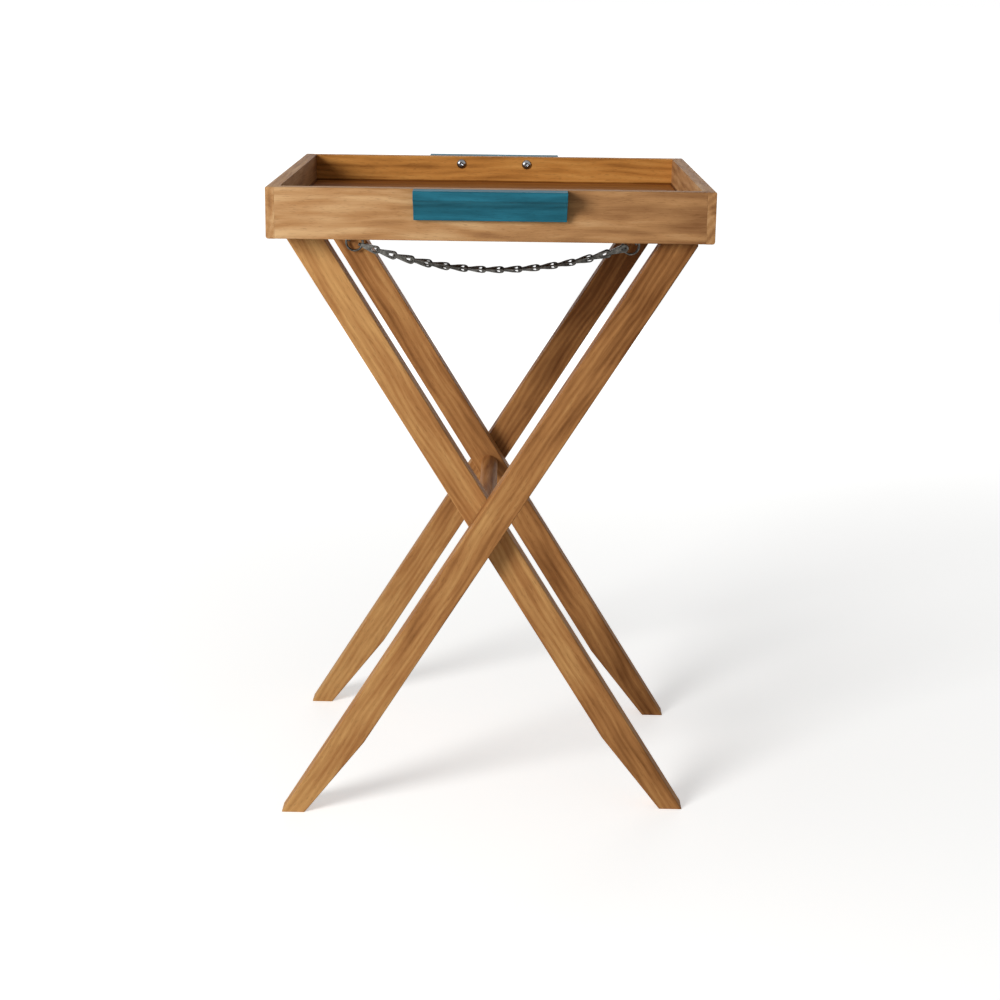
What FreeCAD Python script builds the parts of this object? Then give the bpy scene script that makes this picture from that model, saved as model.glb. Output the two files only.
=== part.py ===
"""Butler's tray table: a lift-off wooden tray on a folding X stand, with a stay chain.

Frame: +X runs along the tray's front, +Y from front to rear, +Z up. The origin is on the
floor below the middle of the table. Millimetres.
"""
import FreeCAD, Part
import math
import os
import re

import Sketcher

# Driving sizes, in millimetres
SIZES = {
    # tray
    "tray_length": 500,
    "tray_depth": 432,
    "board_height": 57.5,
    "board_thick": 15,
    "corner_lip": 10,
    "board_round": 1.2,
    "end_board_round": 3,
    "floor_drop": 33,
    "floor_thick": 12,
    "tongue_thick": 6,
    "groove_depth": 5,
    "panel_play": 0.2,
    # handles
    "handle_length": 170,
    "handle_height": 34,
    "handle_depth": 27,
    "handle_lip": 10,
    "handle_foot": 6,
    "cove_sag": 3,
    "handle_round": 2.2,
    "bolt_spacing": 86,
    "bolt_drop": 9.5,
    "bolt_size": 6,
    "bolt_reach": 16,
    "bolt_head": 12,
    "bolt_head_height": 3.8,
    "bolt_crown": 7,
    "bolt_rim": 1.4,
    "bolt_key": 4,
    "bolt_key_depth": 2,
    "bolt_play": 0.1,
    # stand
    "stand_height": 714,
    "leg_width": 36.5,
    "leg_thick": 28,
    "leg_inset": 12,
    "leg_gap": 1.2,
    "leg_round": 1.5,
    "foot_taper_height": 92,
    "foot_taper": 15,
    "tray_side_play": 1.5,
    "tray_end_play": 4.5,
    # pivot and rails
    "dowel_size": 22,
    "spigot_size": 14,
    "spigot_reach": 19,
    "spigot_play": 0.06,
    "washer_size": 30,
    "washer_play": 0.1,
    "washer_bore_play": 0.2,
    "rail_width": 20,
    "rail_height": 22,
    "rail_edge": 4,
    "tenon_size": 12,
    "tenon_length": 15,
    "tenon_play": 0.05,
    "bore_spare": 1,
    # stay chain
    "hook_drop": 58.5,
    "hook_wire": 3.2,
    "hook_upright": 10,
    "hook_tip": 2.6,
    "hook_thread": 14,
    "chain_stand_off": 6.5,
    "ring_size": 24.4,
    "ring_wire": 2.9,
    "link_pitch": 23.5,
    "link_pin": 3.2,
    "link_plate": 1.4,
    "link_nose": 5.2,
    "link_eye": 11.6,
    "link_eye_wall": 2.6,
    "link_window": 6,
    "window_nose": 4.5,
    "fork_length": 7,
    "fork_blend": 5,
    "chain_play": 0.3,
    "chain_sag": 35.5,
}

# Sizes that follow from the driving ones, as formulas of the sheet
DERIVED = {
    "half_length": "tray_length / 2",
    "half_depth": "tray_depth / 2",
    "inner_half_length": "half_length - board_thick",
    "inner_half_depth": "half_depth - board_thick",
    "rim_height": "stand_height + floor_thick + floor_drop",
    "apron_bottom": "rim_height - board_height",
    "lap_half_length": "half_length - corner_lip",
    "groove_low": "stand_height - apron_bottom - panel_play / 2",
    "groove_high": "stand_height - apron_bottom + tongue_thick + panel_play / 2",
    "bolt_bore": "bolt_size + 2 * bolt_play",
    "pivot_height": "stand_height / 2",
    "leg_reach": "inner_half_length - leg_inset",
    "leg_tan": "leg_reach / pivot_height",
    "leg_cos": "1 / sqrt(1 + leg_tan ^ 2)",
    "leg_half": "leg_width / 2 / leg_cos",
    "leg_top": "inner_half_length - tray_side_play",
    "leg_top_shoulder": "pivot_height + (leg_top - leg_half) / leg_tan",
    "outer_face": "inner_half_depth - tray_end_play",
    "outer_inside": "outer_face - leg_thick",
    "inner_face": "outer_inside - leg_gap",
    "inner_inside": "inner_face - leg_thick",
    "rail_x": "leg_top - rail_edge - rail_width / 2",
    "rail_z": "stand_height - rail_height / 2",
    "hook_z": "stand_height - hook_drop",
    "hook_x": "(hook_z - pivot_height) * leg_tan",
    "chain_y": "inner_inside - chain_stand_off",
    "eye_half": "link_plate + chain_play",
    "fork_inside": "eye_half + chain_play",
    "fork_half": "fork_inside + link_plate",
    "ring_inside": "ring_size / 2 - ring_wire",
    "ring_to_hook": "ring_inside - chain_play - hook_wire / 2",
    "ring_to_link": "ring_inside - chain_play - link_pin / 2",
    "hole_half": "link_eye / 2 - link_eye_wall",
    "hole_centre": "link_pitch + link_pin / 2 + chain_play - hole_half",
}

# Two points nearer than this are the same point
NEAR = 0.01

# Small iron pieces have flats in place of rounds: to a half turn of a link, to a ring's wire and to a ring
LINK_FLATS = 4
WIRE_FLATS = 8
RING_FLATS = 3 * WIRE_FLATS

doc = FreeCAD.newDocument("tray_table")
sheet = doc.addObject("Spreadsheet::Sheet", "Sizes")
for row, (name, content) in enumerate({**SIZES, **DERIVED}.items(), start=1):
    sheet.set(f"A{row}", name)
    sheet.set(f"B{row}", str(content) if name in SIZES else f"={content}")
    sheet.setAlias(f"B{row}", name)
doc.recompute()


def bound(text):
    """Turn a formula of size names into one that other objects can be bound to."""
    def named(match):
        word = match.group()
        return f"Sizes.{word}" if word in SIZES or word in DERIVED else word
    return re.sub(r"[a-z_]+", named, str(text))


def size(text):
    """Value of a formula of size names."""
    return float(sheet.evalExpression(bound(text)))


def bind(target, **formulas):
    """Tie properties of an object to formulas of size names."""
    for name, text in formulas.items():
        target.setExpression(name, bound(text))


def place(target, x="0", y="0", z="0"):
    """Tie the place of a sub-part to formulas of size names."""
    for axis, text in (("x", x), ("y", y), ("z", z)):
        target.setExpression(f"Placement.Base.{axis}", bound(text))


def new_body(label):
    """Empty body whose label names the sub-part."""
    body = doc.addObject("PartDesign::Body", label)
    body.Label = label
    return body


def new_sketch(body, plane):
    """Sketch on one of the body's own origin planes."""
    sketch = body.newObject("Sketcher::SketchObject", "sketch")
    support = next(item for item in body.Origin.OriginFeatures if item.Role == plane)
    sketch.AttachmentSupport = [(support, "")]
    sketch.MapMode = "FlatFace"
    return sketch


def pin_point(sketch, curve, end, x, y):
    """Hold one point of a curve at formulas measured from the sketch's origin."""
    for kind, text in (("DistanceX", x), ("DistanceY", y)):
        rule = sketch.addConstraint(Sketcher.Constraint(kind, -1, 1, curve, end, size(text)))
        sketch.setExpression(f"Constraints[{rule}]", bound(text))


def outline(sketch, corners):
    """Closed outline of straight lines through corners given as pairs of formulas."""
    first = sketch.GeometryCount
    count = len(corners)
    points = [FreeCAD.Vector(size(x), size(y), 0) for x, y in corners]
    for start, end in zip(points, points[1:] + points[:1]):
        sketch.addGeometry(Part.LineSegment(start, end))
    for side in range(count):
        follow = first + (side + 1) % count
        sketch.addConstraint(Sketcher.Constraint("Coincident", first + side, 2, follow, 1))
    for side, (x, y) in enumerate(corners):
        pin_point(sketch, first + side, 1, x, y)


def disc(sketch, x, y, diameter):
    """Circle about a point given as formulas."""
    centre = FreeCAD.Vector(size(x), size(y), 0)
    axis = FreeCAD.Vector(0, 0, 1)
    curve = sketch.addGeometry(Part.Circle(centre, axis, size(diameter) / 2))
    pin_point(sketch, curve, 3, x, y)
    rule = sketch.addConstraint(Sketcher.Constraint("Diameter", curve, size(diameter)))
    sketch.setExpression(f"Constraints[{rule}]", bound(diameter))


def capsule(sketch, start, start_size, end, end_size):
    """Two half rounds on the sketch's first axis, each cut as flats, joined by straight sides."""
    corners = []
    for x, diameter, first_turn in ((start, start_size, 90), (end, end_size, -90)):
        for flat in range(LINK_FLATS + 1):
            turn = math.radians(first_turn + 180 * flat / LINK_FLATS)
            corners.append((f"{x} + ({diameter}) / 2 * {math.cos(turn):.6f}",
                            f"({diameter}) / 2 * {math.sin(turn):.6f}"))
    outline(sketch, corners)


def pad(body, sketch, length, reverse=False, both_ways=False):
    """Raise a sketch to a length given as a formula."""
    feature = body.newObject("PartDesign::Pad", "pad")
    feature.Profile = sketch
    feature.Reversed = reverse
    feature.SideType = "Symmetric" if both_ways else "One side"
    bind(feature, Length=length)
    doc.recompute()
    return feature


def pocket(body, sketch, depth, reverse=False, both_ways=False):
    """Cut a sketch to a depth given as a formula, and make sure that it cuts."""
    before = body.Shape.Volume
    feature = body.newObject("PartDesign::Pocket", "pocket")
    feature.Profile = sketch
    feature.Reversed = reverse
    feature.SideType = "Symmetric" if both_ways else "One side"
    bind(feature, Length=depth)
    doc.recompute()
    if body.Shape.Volume >= before:
        raise ValueError(f"{body.Label}: a pocket cuts nothing")
    return feature


def revolve(body, sketch, axis):
    """Turn a half section about one of its sketch's axes."""
    feature = body.newObject("PartDesign::Revolution", "turned")
    feature.Profile = sketch
    feature.ReferenceAxis = (sketch, [axis])
    doc.recompute()
    return feature


def soften(body, radius, wanted):
    """Round the edges of a body that a test of their two ends picks out."""
    names = []
    for number, edge in enumerate(body.Shape.Edges, start=1):
        ends = [vertex.Point for vertex in edge.Vertexes]
        if len(ends) == 2 and wanted(*ends):
            names.append(f"Edge{number}")
    base = body.Tip
    feature = body.newObject("PartDesign::Fillet", "rounding")
    feature.Base = (base, names)
    bind(feature, Radius=radius)
    doc.recompute()
    return feature


def along(axis, **levels):
    """Test for edges that run along one axis, at given levels of the other axes."""
    def wanted(start, end):
        step = end - start
        across = [abs(getattr(step, name)) for name in "xyz" if name != axis]
        if max(across) > NEAR:
            return False
        return all(abs(getattr(start, name) - level) < NEAR for name, level in levels.items())
    return wanted


def board_section(body, plane, side):
    """Section of a tray board: an upright strip with a groove for the floor in its inner face."""
    section = new_sketch(body, plane)
    outer = f"{side} * board_thick"
    groove = f"{side} * groove_depth"
    outline(section, [("0", "0"), (outer, "0"), (outer, "board_height"), ("0", "board_height"),
                      ("0", "groove_high"), (groove, "groove_high"),
                      (groove, "groove_low"), ("0", "groove_low")])
    return section


def long_board(label, side):
    """Front (-1) or rear (+1) board: grooved for the floor, drilled for the handle's bolts."""
    body = new_body(label)
    pad(body, board_section(body, "YZ_Plane", side), "2 * lap_half_length", both_ways=True)
    drilling = new_sketch(body, "XZ_Plane")
    for hand in (-1, 1):
        disc(drilling, f"{hand} * bolt_spacing / 2", "board_height - bolt_drop", "bolt_bore")
    pocket(body, drilling, "board_thick", reverse=side < 0)
    soften(body, "board_round", along("x", y=side * size("board_thick")))
    place(body, y=f"{side} * inner_half_depth", z="apron_bottom")
    return body


def end_board(label, side):
    """Left (-1) or right (+1) board: grooved for the floor, rebated where the long boards lap in."""
    body = new_body(label)
    pad(body, board_section(body, "XZ_Plane", side), "tray_depth", both_ways=True)
    rebates = new_sketch(body, "XY_Plane")
    lap = f"{side} * (board_thick - corner_lip)"
    for end in (-1, 1):
        shoulder = f"{end} * inner_half_depth"
        past = f"{end} * (half_depth + board_thick)"
        before = f"{-side} * board_thick"
        outline(rebates, [(before, shoulder), (lap, shoulder), (lap, past), (before, past)])
    pocket(body, rebates, "board_height", reverse=True)
    outer = side * size("board_thick")
    soften(body, "end_board_round", along("y", x=outer, z=0))
    soften(body, "board_round", along("y", x=outer, z=size("board_height")))
    place(body, x=f"{side} * inner_half_length", z="apron_bottom")
    return body


def floor_panel():
    """Tray floor: a panel with a thin tongue all round that sits in the boards' grooves."""
    body = new_body("tray_floor_panel")
    tongue = new_sketch(body, "XY_Plane")
    x_tongue = "(inner_half_length + groove_depth - panel_play)"
    y_tongue = "(inner_half_depth + groove_depth - panel_play)"
    outline(tongue, [(f"-{x_tongue}", f"-{y_tongue}"), (x_tongue, f"-{y_tongue}"),
                     (x_tongue, y_tongue), (f"-{x_tongue}", y_tongue)])
    pad(body, tongue, "tongue_thick")
    field = new_sketch(body, "XY_Plane")
    x_field = "(inner_half_length - panel_play)"
    y_field = "(inner_half_depth - panel_play)"
    outline(field, [(f"-{x_field}", f"-{y_field}"), (x_field, f"-{y_field}"),
                    (x_field, y_field), (f"-{x_field}", y_field)])
    pad(body, field, "floor_thick")
    place(body, z="stand_height")
    return body


def handle(label, side):
    """Front (-1) or rear (+1) handle: a bar with a front lip above a hollowed finger cove."""
    body = new_body(label)
    section = new_sketch(body, "YZ_Plane")
    front = f"{side} * handle_depth"
    foot = f"{side} * handle_foot"
    lip_y, lip_z = size(front), size("-handle_lip")
    foot_y, foot_z = size(foot), size("-handle_height")
    chord = FreeCAD.Vector(foot_y - lip_y, foot_z - lip_z, 0)
    middle = FreeCAD.Vector((lip_y + foot_y) / 2, (lip_z + foot_z) / 2, 0)
    inward = FreeCAD.Vector(-side * abs(chord.y), abs(chord.x), 0).normalize()
    hollow = middle + inward * size("cove_sag")
    corners = [FreeCAD.Vector(0, 0, 0), FreeCAD.Vector(lip_y, 0, 0), FreeCAD.Vector(lip_y, lip_z, 0),
               FreeCAD.Vector(foot_y, foot_z, 0), FreeCAD.Vector(0, foot_z, 0)]
    top = section.addGeometry(Part.LineSegment(corners[0], corners[1]))
    lip = section.addGeometry(Part.LineSegment(corners[1], corners[2]))
    cove = section.addGeometry(Part.Arc(corners[2], hollow, corners[3]))
    sole = section.addGeometry(Part.LineSegment(corners[3], corners[4]))
    back = section.addGeometry(Part.LineSegment(corners[4], corners[0]))
    cove_starts_at_lip = (section.getPoint(cove, 1) - corners[2]).Length < NEAR
    cove_ends = (1, 2) if cove_starts_at_lip else (2, 1)
    for curve, end_a, other, end_b in ((top, 2, lip, 1), (lip, 2, cove, cove_ends[0]),
                                       (cove, cove_ends[1], sole, 1), (sole, 2, back, 1),
                                       (back, 2, top, 1)):
        section.addConstraint(Sketcher.Constraint("Coincident", curve, end_a, other, end_b))
    for curve, y, z in ((top, "0", "0"), (lip, front, "0"), (sole, foot, "-handle_height"),
                        (back, "0", "-handle_height")):
        pin_point(section, curve, 1, y, z)
    pin_point(section, lip, 2, front, "-handle_lip")
    half_chord = "sqrt((handle_depth - handle_foot) ^ 2 + (handle_height - handle_lip) ^ 2) / 2"
    cove_radius = f"(({half_chord}) ^ 2 + cove_sag ^ 2) / (2 * cove_sag)"
    rule = section.addConstraint(Sketcher.Constraint("Radius", cove, size(cove_radius)))
    section.setExpression(f"Constraints[{rule}]", bound(cove_radius))
    pad(body, section, "handle_length", both_ways=True)
    drilling = new_sketch(body, "XZ_Plane")
    for hand in (-1, 1):
        disc(drilling, f"{hand} * bolt_spacing / 2", "-bolt_drop", "bolt_bore")
    pocket(body, drilling, "bolt_reach + bore_spare", reverse=side < 0)
    soften(body, "handle_round", along("x", y=lip_y))
    place(body, y=f"{side} * half_depth", z="rim_height")
    return body


def handle_bolt(side, hand):
    """Dome-head bolt: its head inside the tray, its shank through the board into the handle."""
    body = new_body("bolt")
    section = new_sketch(body, "XY_Plane")
    crown = f"{-side} * bolt_head_height"
    tip = f"{side} * (board_thick + bolt_reach)"
    outline(section, [("0", crown), ("bolt_crown / 2", crown), ("bolt_head / 2", f"{-side} * bolt_rim"),
                      ("bolt_head / 2", "0"), ("bolt_size / 2", "0"), ("bolt_size / 2", tip), ("0", tip)])
    revolve(body, section, "V_Axis")
    key = new_sketch(body, "XZ_Plane")
    key.setExpression("AttachmentOffset.Base.z", bound(f"{side} * (bolt_head_height - bolt_key_depth)"))
    corner = "bolt_key / sqrt(3)"
    half = "bolt_key / 2"
    outline(key, [(corner, "0"), (f"{corner} / 2", half), (f"-{corner} / 2", half),
                  (f"-{corner}", "0"), (f"-{corner} / 2", f"-{half}"), (f"{corner} / 2", f"-{half}")])
    pocket(body, key, "bolt_head_height", reverse=side > 0)
    place(body, x=f"{hand} * bolt_spacing / 2", y=f"{side} * inner_half_depth", z="rim_height - bolt_drop")
    return body


def leg(label, lean, side, inside, pivot_depth, hooked):
    """One leg of the X, drawn on its face towards the table's middle.

    lean is +1 where the leg's top is to the right and -1 where it is to the left; side is -1 at
    the front and +1 at the rear; inside is the distance of that face from the middle.
    """
    body = new_body(label)
    rising = new_sketch(body, "XZ_Plane")
    taper_x = "foot_taper_height * leg_tan + leg_half - leg_reach"
    corners = [("-leg_reach - leg_half", "0"), ("leg_half - leg_reach - foot_taper", "0"),
               (taper_x, "foot_taper_height"), ("leg_top", "leg_top_shoulder"),
               ("leg_top", "stand_height"), ("leg_reach - leg_half", "stand_height")]
    outline(rising, [(f"{lean} * ({x})", z) for x, z in corners])
    pad(body, rising, "leg_thick", reverse=side > 0)
    bores = [("0", "pivot_height", "spigot_size + 2 * spigot_play", pivot_depth),
             (f"{lean} * rail_x", "rail_z", "tenon_size + 2 * tenon_play", "tenon_length + bore_spare")]
    if hooked:
        hook_bore = "hook_wire + 2 * tenon_play"
        bores.append((f"{lean} * hook_x", "hook_z", hook_bore, "hook_thread + bore_spare"))
    for x, z, diameter, depth in bores:
        bore = new_sketch(body, "XZ_Plane")
        disc(bore, x, z, diameter)
        pocket(body, bore, depth, reverse=side < 0)
    faces = (0.0, side * size("leg_thick"))

    def long_edge(start, end):
        flat = abs(start.y - end.y) < NEAR and min(abs(start.y - face) for face in faces) < NEAR
        return flat and (end - start).Length > size("foot_taper_height") / 2

    soften(body, "leg_round", long_edge)
    place(body, y=f"{side} * {inside}")
    return body


def pivot_dowel():
    """Round cross bar with a turned spigot at each end, on which the outer legs turn."""
    body = new_body("pivot_dowel")
    section = new_sketch(body, "XY_Plane")
    end = "(outer_inside + spigot_reach)"
    outline(section, [("0", f"-{end}"), ("spigot_size / 2", f"-{end}"),
                      ("spigot_size / 2", "-inner_inside"), ("dowel_size / 2", "-inner_inside"),
                      ("dowel_size / 2", "inner_inside"), ("spigot_size / 2", "inner_inside"),
                      ("spigot_size / 2", end), ("0", end)])
    revolve(body, section, "V_Axis")
    place(body, z="pivot_height")
    return body


def pivot_washer(side):
    """Thin washer on the spigot, between the inner and the outer leg."""
    body = new_body("washer")
    face = new_sketch(body, "XZ_Plane")
    disc(face, "0", "0", "washer_size")
    disc(face, "0", "0", "spigot_size + 2 * washer_bore_play")
    pad(body, face, "leg_gap - washer_play", reverse=side > 0)
    place(body, y=f"{side} * inner_face", z="pivot_height")
    return body


def top_rail(label, lean, inside):
    """Rail under the tray between two legs, with a round tenon at each end."""
    body = new_body(label)
    section = new_sketch(body, "XZ_Plane")
    x_half = "rail_width / 2"
    z_half = "rail_height / 2"
    outline(section, [(f"-{x_half}", f"-{z_half}"), (x_half, f"-{z_half}"),
                      (x_half, z_half), (f"-{x_half}", z_half)])
    pad(body, section, f"2 * {inside}", both_ways=True)
    tenon = new_sketch(body, "XZ_Plane")
    disc(tenon, "0", "0", "tenon_size")
    pad(body, tenon, f"2 * ({inside} + tenon_length)", both_ways=True)
    soften(body, "leg_round", along("y", z=size(f"-{z_half}")))
    place(body, x=f"{lean} * rail_x", z="rail_z")
    return body


def hook(label, lean, face):
    """Screw hook of round wire: a shank out of the leg to the chain's plane, then an upright tip."""
    front = "(ring_wire / 2 + chain_play + hook_wire / 2)"
    shank = doc.addObject("Part::Cylinder", "shank")
    nose = f"({front} + hook_wire / 2 + chain_play)"
    bind(shank, Radius="hook_wire / 2", Height=f"{face} - chain_y + hook_thread + {nose}")
    shank.Placement.Rotation = FreeCAD.Rotation(FreeCAD.Vector(1, 0, 0), -90)
    place(shank, y=f"-{nose}")
    tip = doc.addObject("Part::Cylinder", "tip")
    bind(tip, Radius="hook_tip / 2", Height="hook_upright")
    place(tip, y=f"-{front}")
    body = doc.addObject("Part::MultiFuse", label)
    body.Label = label
    body.Shapes = [shank, tip]
    place(body, x=f"{lean} * hook_x", y="chain_y", z="hook_z")
    return body


def ring(label):
    """Wire ring in the chain's plane, with its axis along Y."""
    body = doc.addObject("Part::Sweep", label)
    body.Label = label
    spine = doc.addObject("Part::RegularPolygon", "ring_line")
    spine.Polygon = RING_FLATS
    bind(spine, Circumradius=f"(ring_size - ring_wire) / 2 / {math.cos(math.pi / RING_FLATS):.6f}")
    spine.Placement.Rotation = FreeCAD.Rotation(FreeCAD.Vector(1, 0, 0), 90)
    wire = doc.addObject("Part::RegularPolygon", "ring_section")
    wire.Polygon = WIRE_FLATS
    bind(wire, Circumradius=f"ring_wire / 2 / {math.cos(math.pi / WIRE_FLATS):.6f}")
    doc.recompute()
    first, second = (vertex.Point for vertex in spine.Shape.Edges[0].Vertexes)
    along_wire = FreeCAD.Rotation(FreeCAD.Vector(0, 0, 1), second - first)
    half_flat = FreeCAD.Rotation(FreeCAD.Vector(0, 0, 1), 180 / WIRE_FLATS)
    wire.Placement = FreeCAD.Placement((first + second) / 2, along_wire * half_flat)
    body.Sections = [wire]
    body.Spine = (spine, [])
    body.Solid = True
    body.Transition = "Right corner"
    doc.recompute()
    return body


def link_plan(body):
    """Plan view of what the strip link lacks: the slot of its fork and the relief beside its eye."""
    plan = new_sketch(body, "XY_Plane")
    nose = "-link_nose"
    throat = "fork_length + fork_blend / 2"
    outline(plan, [(nose, "-fork_inside"), ("fork_length", "-fork_inside"), (throat, "0"),
                   ("fork_length", "fork_inside"), (nose, "fork_inside")])
    past = "link_pitch + link_eye"
    for side in (-1, 1):
        level = f"{side} * eye_half"
        clear = f"{side} * fork_half * 2"
        outline(plan, [("fork_length + fork_blend", level), (past, level), (past, clear),
                       ("fork_length", clear), ("fork_length", f"{side} * fork_half")])
    return plan


def round_waist(body, x):
    """Round waist across a link, which hangs in the eye of its neighbour."""
    waist = new_sketch(body, "XZ_Plane")
    disc(waist, x, "0", "link_pin")
    pad(body, waist, "2 * fork_half", both_ways=True)


def chain_link(label):
    """Strip link: a fork with a round waist at its narrow end, an eye with a long hole at the other."""
    body = new_body(label)
    blank = new_sketch(body, "XZ_Plane")
    capsule(blank, "0", "link_nose", "hole_centre", "link_eye")
    pad(body, blank, "2 * fork_half", both_ways=True)
    pocket(body, link_plan(body), "2 * link_eye", both_ways=True)
    window = new_sketch(body, "XZ_Plane")
    capsule(window, "hole_centre - link_window", "window_nose", "hole_centre", "2 * hole_half")
    pocket(body, window, "4 * fork_half", both_ways=True)
    round_waist(body, "0")
    return body


def end_link(label):
    """Closed link: two strip plates on two round waists, the second one inside the right ring."""
    body = new_body(label)
    round_waist(body, "0")
    for side in (-1, 1):
        plate = new_sketch(body, "XZ_Plane")
        plate.setExpression("AttachmentOffset.Base.z", bound(f"{-side} * fork_inside"))
        capsule(plate, "0", "link_nose", "hole_centre", "link_eye")
        pad(body, plate, "link_plate", reverse=side > 0)
    round_waist(body, "link_pitch")
    return body


def hanging_angles(lengths, span):
    """Angles of links that hang between two level points: their tangents rise in equal steps."""
    middle = (len(lengths) - 1) / 2

    def angles(step):
        return [math.atan(step * (number - middle)) for number in range(len(lengths))]

    def width(step):
        return sum(length * math.cos(angle) for length, angle in zip(lengths, angles(step)))

    slack, tight = 1.0, 0.0
    for _ in range(60):
        step = (slack + tight) / 2
        slack, tight = (step, tight) if width(step) < span else (slack, step)
    return angles(step)


def stay_chain():
    """Ring, links, end link and ring, hung in one plane between the two hooks."""
    span = size("2 * hook_x")
    pitch = size("link_pitch")
    ring_step = size("ring_to_hook + ring_to_link")
    hung = span + 8 / 3 * size("chain_sag") ** 2 / span
    count = math.ceil((hung - 2 * ring_step) / pitch)
    links = [chain_link(f"chain_link_{number:02d}") for number in range(1, count)]
    links.append(end_link("chain_end_link"))
    rings = [ring("left_ring"), ring("right_ring")]
    pieces = [rings[0], *links, rings[1]]
    lengths = [ring_step, *[pitch] * count, ring_step]
    seat = FreeCAD.Vector(-span / 2, size("chain_y"), size("hook_z"))
    to_centre = {rings[0].Name: size("ring_to_hook"), rings[1].Name: size("ring_to_link")}
    for piece, length, angle in zip(pieces, lengths, hanging_angles(lengths, span)):
        heading = FreeCAD.Vector(math.cos(angle), 0, math.sin(angle))
        tilt = FreeCAD.Rotation(FreeCAD.Vector(0, -1, 0), math.degrees(angle))
        piece.Placement = FreeCAD.Placement(seat + heading * to_centre.get(piece.Name, 0), tilt)
        seat = seat + heading * length
    return pieces


def alike(label, bodies):
    """One sub-part of several loose bodies that are the same fastener."""
    group = doc.addObject("Part::Compound", label)
    group.Label = label
    group.Links = bodies
    return group


def tray():
    """The lift-off tray with its handles and their bolts."""
    pieces = [long_board("tray_front_board", -1), long_board("tray_rear_board", 1),
              end_board("tray_left_board", -1), end_board("tray_right_board", 1), floor_panel(),
              handle("front_handle", -1), handle("rear_handle", 1)]
    bolts = [handle_bolt(side, hand) for side in (-1, 1) for hand in (-1, 1)]
    return [*pieces, alike("handle_bolts", bolts)]


def stand():
    """The two frames of the X, what joins them, and the hooks of the stay chain."""
    through = "leg_thick"
    blind = "spigot_reach + bore_spare"
    return [leg("inner_leg_front", -1, -1, "inner_inside", through, False),
            leg("inner_leg_rear", -1, 1, "inner_inside", through, True),
            leg("outer_leg_front", 1, -1, "outer_inside", blind, False),
            leg("outer_leg_rear", 1, 1, "outer_inside", blind, True),
            pivot_dowel(), alike("pivot_washers", [pivot_washer(-1), pivot_washer(1)]),
            top_rail("inner_top_rail", -1, "inner_inside"), top_rail("outer_top_rail", 1, "outer_inside"),
            hook("left_hook", -1, "inner_inside"), hook("right_hook", 1, "outer_inside")]


pieces = tray() + stand() + stay_chain()
doc.recompute()
for item in doc.Objects:
    if {"Invalid", "Error"} & set(item.State):
        raise RuntimeError(f"{item.Label} failed: {item.State}")
for piece in pieces:
    if piece.Shape.isNull() or not piece.Shape.isValid():
        raise RuntimeError(f"{piece.Label} has no valid shape")

os.makedirs("parts", exist_ok=True)
for piece in pieces:
    piece.Shape.exportStep(f"parts/{piece.Label}.step")
print(f"{len(pieces)} sub-parts written")
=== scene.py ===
"""Butler's tray table: an oiled hardwood tray on a folding stand that a stay chain holds open.

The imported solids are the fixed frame. The wooden solids keep their shape and get their grain here.
The ironwork, which the solids show with flats, is made round here in the same places.
"""

import logging
import math
from dataclasses import dataclass, field
from enum import Enum

import bmesh
import bpy
from bmesh.types import BMesh, BMVert
from bpy.types import Material, Mesh, NodeSocket, NodeTree, Object
from mathutils import Matrix, Vector


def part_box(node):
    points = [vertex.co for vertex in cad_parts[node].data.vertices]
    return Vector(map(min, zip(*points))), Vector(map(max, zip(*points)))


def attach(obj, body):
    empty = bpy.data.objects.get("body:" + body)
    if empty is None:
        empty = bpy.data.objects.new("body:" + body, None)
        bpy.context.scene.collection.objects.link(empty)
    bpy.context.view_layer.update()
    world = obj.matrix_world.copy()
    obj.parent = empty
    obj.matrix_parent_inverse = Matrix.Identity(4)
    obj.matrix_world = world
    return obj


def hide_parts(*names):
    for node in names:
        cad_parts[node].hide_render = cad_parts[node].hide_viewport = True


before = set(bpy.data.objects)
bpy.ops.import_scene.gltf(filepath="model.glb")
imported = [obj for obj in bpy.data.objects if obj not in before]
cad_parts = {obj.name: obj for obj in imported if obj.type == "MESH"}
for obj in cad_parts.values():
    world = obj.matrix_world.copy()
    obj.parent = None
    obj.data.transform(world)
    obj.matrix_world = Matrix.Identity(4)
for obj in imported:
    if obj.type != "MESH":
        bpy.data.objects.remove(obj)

LOG = logging.getLogger("tray_table")
# Metres in a millimetre.
MM = 0.001
# How far the legs lean from upright.
LEAN = math.radians(31.99)
# Points of a built shape that are closer than this, in metres, are one.
WELD = 1e-6
WHITE = "#ffffff"


def linear(code: str) -> tuple[float, float, float, float]:
    """Turns an sRGB colour into linear light.

    Args:
        code: the colour as "#rrggbb".

    Returns:
        Linear red, green and blue, and full alpha.
    """
    parts = [int(code[start:start + 2], 16) / 255 for start in (1, 3, 5)]
    red, green, blue = (p / 12.92 if p <= 0.04045 else ((p + 0.055) / 1.055) ** 2.4 for p in parts)
    return red, green, blue, 1.0


def add_node(tree: NodeTree, kind: str, inputs: dict[str | int, object] | None = None,
             out: str | int = 0, **settings: object) -> NodeSocket | None:
    """Adds a node to a tree, with its settings and links.

    Args:
        tree: the tree that gets the node.
        kind: the type name of the node.
        inputs: a plain value or an output socket for each input, by its name or number.
        out: the output that is wanted, by its name or number.
        settings: attributes of the node itself.

    Returns:
        That output, or nothing for a node that has none.
    """
    node = tree.nodes.new(kind)
    for name, value in settings.items():
        setattr(node, name, value)
    for key, value in (inputs or {}).items():
        if isinstance(value, NodeSocket):
            tree.links.new(value, node.inputs[key])
        else:
            node.inputs[key].default_value = value
    return node.outputs[out] if node.outputs else None


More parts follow.
